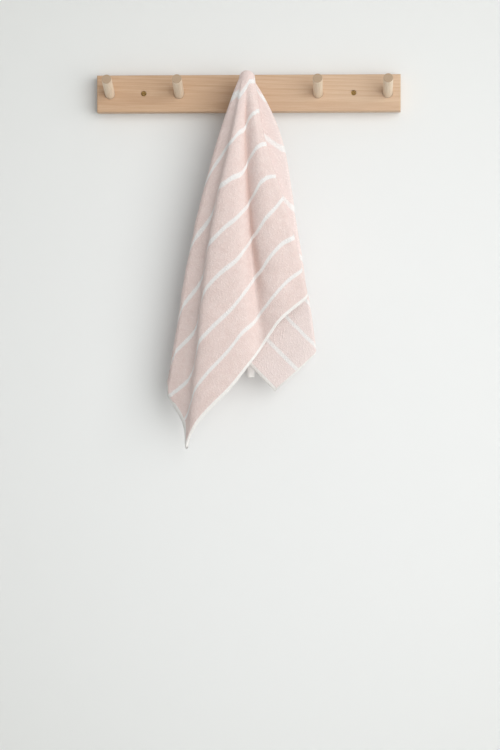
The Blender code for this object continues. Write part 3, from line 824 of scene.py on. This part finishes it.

# %% [markdown]
# ## Beech
# The rail is a plain-sawn beech board. Its growth rings are wide cylinders that the face cuts
# nearly flat, which draws long arches, and beech has short dark flecks along the grain. Both are
# worked out in the board's own space, so the grain runs on round the edges. The board is painted
# a little paler towards its right end, where the light falls: painted light.

# %% Rail finish
BEECH_DARK, BEECH_PALE = colour(200, 164, 131), colour(222, 194, 166)
LATE_WOOD, FLECK = colour(206, 172, 146), colour(178, 138, 108)
HEART_BEHIND, HEART_BELOW, HEART_LEAN, RING_WANDER, RING_PITCH = 12.0, 10.0, 0.030, 5.0, 2.1
LATE_RANGE, EARLY_RANGE, FLECK_RANGE = (0.35, 0.85), (0.86, 1.0), (0.60, 0.72)
LATE_SHARE, FLECK_SHARE, BEECH_ROUGH, BEECH_VARIES = 0.18, 0.20, 0.48, 0.15
STREAK_RANGE, PAINTED_LIGHT_ALONG_X = (0.25, 0.75), (-90, 140)
STREAKS_HIGH, LATE_HIGH, FLECKS_LOW = 0.6, 0.3, 0.5

beech, shader, tools = finish("oiled_beech", Specular_IOR_Level=0.35)
board = own_place(tools)
x, y, z = board.parts()
wander = board.stretched(0.006, 0.02, 0.04).noise(scale=1.0, detail=1, roughness=0.4)
from_heart = squares(y - HEART_BEHIND, z + x * HEART_LEAN + HEART_BELOW) ** 0.5
growth = ((from_heart + wander * RING_WANDER) / RING_PITCH).fraction()
late = growth.rise(*LATE_RANGE) * (1 - growth.rise(*EARLY_RANGE))
streaks = board.stretched(0.035, 0.9, 1.6).noise(scale=1.0, detail=3, roughness=0.6)
flecks = board.stretched(0.45, 2.0, 5.5).noise(scale=1.0, detail=2, roughness=0.6)
flecks = flecks.rise(*FLECK_RANGE)
# Half of the tone is painted light: the board is paler towards its right end, where the light
# falls.
tone = streaks.rise(*STREAK_RANGE) * 0.5 + x.rise(*PAINTED_LIGHT_ALONG_X) * 0.5
base = tone.blend(BEECH_DARK, BEECH_PALE)
base = base.tinted((late * LATE_SHARE).blend(PLAIN, LATE_WOOD))
base = base.tinted((flecks * FLECK_SHARE).blend(PLAIN, FLECK))
feed(shader, "Base Color", base)
feed(shader, "Roughness", streaks * BEECH_VARIES + BEECH_ROUGH)
raised = streaks * STREAKS_HIGH + late * LATE_HIGH - flecks * FLECKS_LOW
bump(shader, raised, distance=0.0002, strength=0.5)

# %% [markdown]
# ## Maple
# The pegs are paler and plainer, with the grain along them. Their cut ends show the end grain:
# darker, with rings. Each peg's own centre comes from folding x at the pegs' spacing.

# %% Peg finish
PEG_FOOT = -RAIL_DEPTH * math.sin(PEG_TILT) * MM
PITCH, ANOTHER_PLACE, ALONG_GRAIN = PEG_PITCH * MM, 37.0, 0.06
END_FROM, END_TO = PEG_REACH * MM - 0.35, PEG_REACH * MM - 0.15
PITH_LEFT, PITH_ABOVE, PEG_RINGS, RING_RANGE = 5.0, 2.0, 0.9, (0.3, 1.0)
GRAIN_RANGE, MAPLE_ROUGH, MAPLE_VARIES = (0.3, 0.7), 0.46, 0.12
MAPLE_DARK, MAPLE_PALE = colour(229, 208, 182), colour(240, 223, 201)
END_PALE, END_DARK = colour(194, 170, 145), colour(168, 143, 116)

maple, shader, tools = finish("sanded_maple", Specular_IOR_Level=0.35)
place = own_place(tools)
x, y, z = place.parts()
outward = z * math.sin(PEG_TILT) - (y + RAIL_DEPTH * MM) * math.cos(PEG_TILT)
upward = y * math.sin(PEG_TILT) + z * math.cos(PEG_TILT) - PEG_FOOT
which = (x / PITCH + 0.5).whole()
sideways = x - which * PITCH
local = place.node(
    "ShaderNodeCombineXYZ", {},
    {0: sideways + which * ANOTHER_PLACE, 1: upward, 2: outward * ALONG_GRAIN},
)
grain = local.noise(scale=1.5, detail=3, roughness=0.6)
ring_at = squares(sideways + PITH_LEFT, upward - PITH_ABOVE) ** 0.5 / PEG_RINGS
ringed = ring_at.fraction().rise(*RING_RANGE)
side_colour = grain.rise(*GRAIN_RANGE).blend(MAPLE_DARK, MAPLE_PALE)
end_colour = (ringed * 0.5 + grain * 0.5).blend(END_PALE, END_DARK)
feed(shader, "Base Color", outward.rise(END_FROM, END_TO).blend(side_colour, end_colour))
feed(shader, "Roughness", grain * MAPLE_VARIES + MAPLE_ROUGH)
bump(shader, grain, distance=0.00015, strength=0.4)

# %% [markdown]
# ## Brass
# The screws are yellow brass, dulled in the recess by a little wax and dust.

# %% Screw finish
BRASS_DULL, BRASS_BRIGHT = colour(92, 72, 46), colour(206, 168, 106)
BRASS_ROUGH, BRASS_VARIES, DUST_RANGE = 0.52, 0.2, (0.35, 0.65)

brass, shader, tools = finish("aged_brass", Metallic=1.0)
dust = own_place(tools).noise(scale=1.1, detail=3, roughness=0.6).rise(*DUST_RANGE)
feed(shader, "Base Color", dust.blend(BRASS_DULL, BRASS_BRIGHT))
feed(shader, "Roughness", BRASS_ROUGH - dust * BRASS_VARIES)
bump(shader, dust, distance=0.00005, strength=0.4)

for name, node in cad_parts.items():
    if name in ("towel", "hanger_loop"):
        continue
    dress = beech if name == "rail" else maple if name.startswith("peg") else brass
    for slot in node.material_slots:
        slot.material = dress
print("finishes on", len(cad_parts) - 2, "frame nodes")

# %% [markdown]
# ## Wall, floor and light
# The wall stands just behind the rail, a pale matt grey that is a little paler round the towel,
# for the light's slow fall-off. Only its front is a surface: seen from behind it lets the view
# through, so the back of the rail can be looked at. A wide soft light from the right and a bright
# even room make short soft shadows to the left. A faint panel in the gap behind the board lights
# the board's back, which nothing else would reach.

# %% Stage and lights
WALL_Y, FLOOR_Z, STAGE_HALF, WALL_TOP = 0.002, -1.15, 4.0, 3.0
WALL_PALE, WALL_GREY = colour(243, 245, 245), colour(228, 230, 228)
PALE_X, PALE_Z, PALE_REACH = 0.09, -0.28, 0.50
KEY_TURN, KEY_RISE, KEY_AWAY = math.radians(33), math.radians(5), 3.2
KEY_SIZE, KEY_POWER, KEY_TINT = 2.9, 77.0, (1.0, 0.993, 0.982)
BACK_Y, BACK_SIZE, BACK_POWER = 0.001, (0.262, 0.026), 0.012
ROOM_COLOUR, ROOM_STRENGTH = (0.985, 0.995, 1.0, 1.0), 0.47


def flat_plane(name, corners, material):
    """One four-cornered plane of the stage."""
    mesh = bpy.data.meshes.new(name)
    mesh.from_pydata(corners, [], [(0, 1, 2, 3)])
    mesh.materials.append(material)
    piece = bpy.data.objects.new(name, mesh)
    bpy.context.scene.collection.objects.link(piece)
    piece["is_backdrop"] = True


def panel(name, place, towards, size, power, tint):
    """An area light at a place, facing a point."""
    data = bpy.data.lights.new(name, "AREA")
    data.shape = "RECTANGLE"
    data.size, data.size_y = size
    data.energy = power
    data.color = tint
    lamp = bpy.data.objects.new(name, data)
    lamp.location = place
    lamp.rotation_euler = (Vector(towards) - Vector(place)).to_track_quat("-Z", "Y").to_euler()
    bpy.context.scene.collection.objects.link(lamp)


paint, shader, tools = finish("wall_paint", Roughness=0.9, Specular_IOR_Level=0.1)
x, _, z = tools.node("ShaderNodeTexCoord", {}, {}, 3).parts()
from_middle = squares(x - PALE_X, z - PALE_Z) / PALE_REACH**2
feed(shader, "Base Color", from_middle.blend(WALL_PALE, WALL_GREY))
behind_it = tools.node("ShaderNodeNewGeometry", {}, {}, "Backfacing")
clear = tools.node("ShaderNodeBsdfTransparent", {}, {})
painted = Value(tools.tree, shader.outputs[0])
mixed = tools.node("ShaderNodeMixShader", {}, {0: behind_it, 1: painted, 2: clear})
feed(tools.tree.nodes["Material Output"], "Surface", mixed)
floor_paint = finish("floor_paint", Roughness=0.8, Base_Color=colour(205, 203, 199))[0]

low, high = -STAGE_HALF, STAGE_HALF
flat_plane("wall", [
    (low, WALL_Y, FLOOR_Z), (high, WALL_Y, FLOOR_Z),
    (high, WALL_Y, WALL_TOP), (low, WALL_Y, WALL_TOP),
], paint)
flat_plane("floor", [
    (low, 2 * low, FLOOR_Z), (high, 2 * low, FLOOR_Z),
    (high, high, FLOOR_Z), (low, high, FLOOR_Z),
], floor_paint)

target = Vector((0.0, 0.0, (cad_low.z + cad_high.z) / 2))
level = math.cos(KEY_RISE)
key_from = Vector((math.sin(KEY_TURN) * level, -math.cos(KEY_TURN) * level, math.sin(KEY_RISE)))
key_at = target + key_from * KEY_AWAY
panel("key", key_at, target, (KEY_SIZE, KEY_SIZE), KEY_POWER, KEY_TINT)
panel("behind_board", (0, BACK_Y, 0), (0, -1, 0), BACK_SIZE, BACK_POWER, (1, 1, 1))
world = bpy.data.worlds.new("room")
world.use_nodes = True
world.node_tree.nodes["Background"].inputs["Color"].default_value = ROOM_COLOUR
world.node_tree.nodes["Background"].inputs["Strength"].default_value = ROOM_STRENGTH
bpy.context.scene.world = world
bpy.context.scene.view_settings.view_transform = "Standard"
print("key light", tuple(round(v, 2) for v in key_at))

# %% [markdown]
# ## What each piece stands for
# The towel and the loop ride on the one body and take the place of their plain solids.

# %% Hand over
for piece, node, slot in ((towel, "towel", "pink_terry"), (loop, "hanger_loop", "white_tape")):
    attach(piece, "root")
    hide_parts(node)
low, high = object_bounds()
print("size", [round(v * 1000, 1) for v in high - low], "mm")
